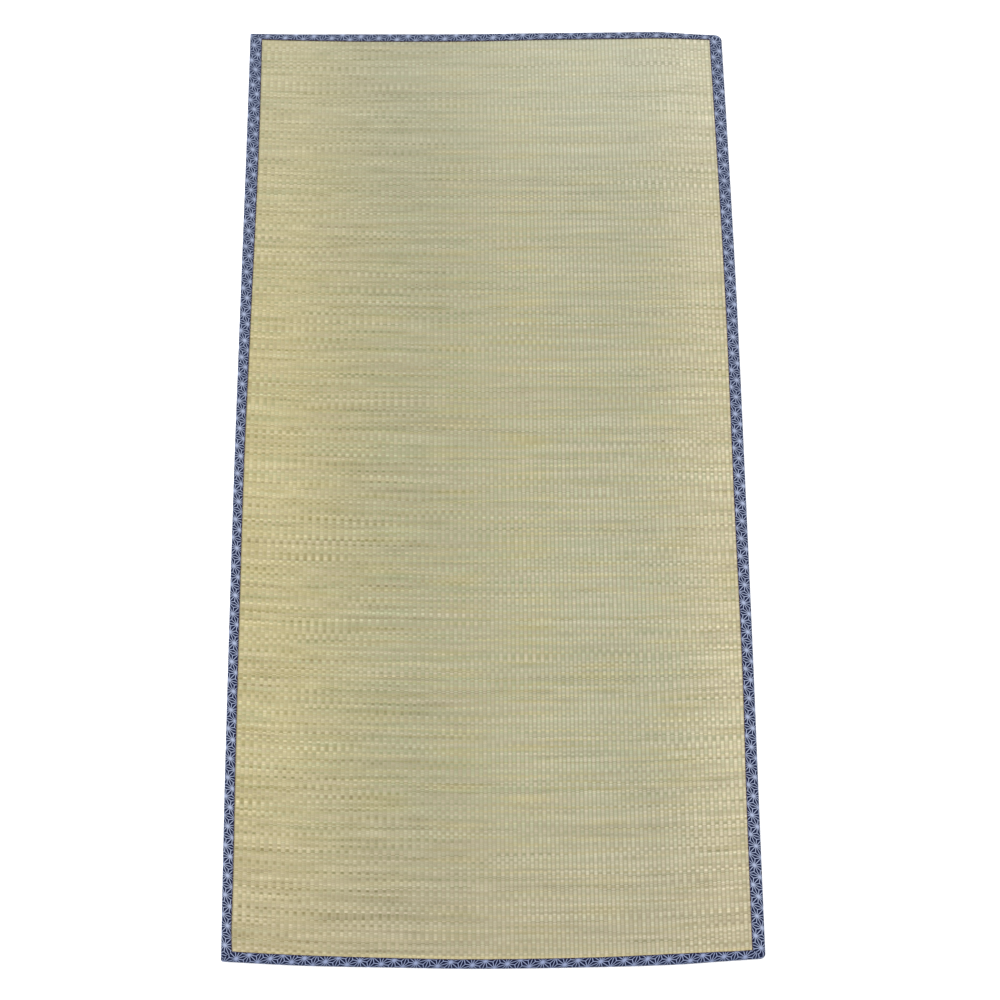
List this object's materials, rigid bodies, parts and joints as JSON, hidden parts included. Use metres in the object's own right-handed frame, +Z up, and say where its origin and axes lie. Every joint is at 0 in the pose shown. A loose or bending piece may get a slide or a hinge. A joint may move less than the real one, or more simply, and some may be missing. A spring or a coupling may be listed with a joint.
{
  "type": "cattail mat",
  "caption": "Flat floor or bed mat woven from straw-coloured plant stems, ribbed from end to end, with a printed cotton tape folded round and sewn to every edge",
  "frame": {"origin": "on the floor under the middle of the mat's bounding box", "axes": "X runs across the mat, Y along it from the foot to the head, and Z up from the floor"},
  "size_m": [0.8696, 1.8166, 0.0054],
  "materials": {
    "woven_stems": "dry plant stems, plain weave with ribs along the length, slightly glossy crests",
    "printed_tape": "matt cotton tape, navy, with a small pale traditional hemp-leaf print"
  },
  "bodies": {
    "root": {"woven_panel": "woven_stems", "tape_left": "printed_tape", "tape_right": "printed_tape", "tape_foot": "printed_tape", "tape_head": "printed_tape"}
  },
  "joints": []
}
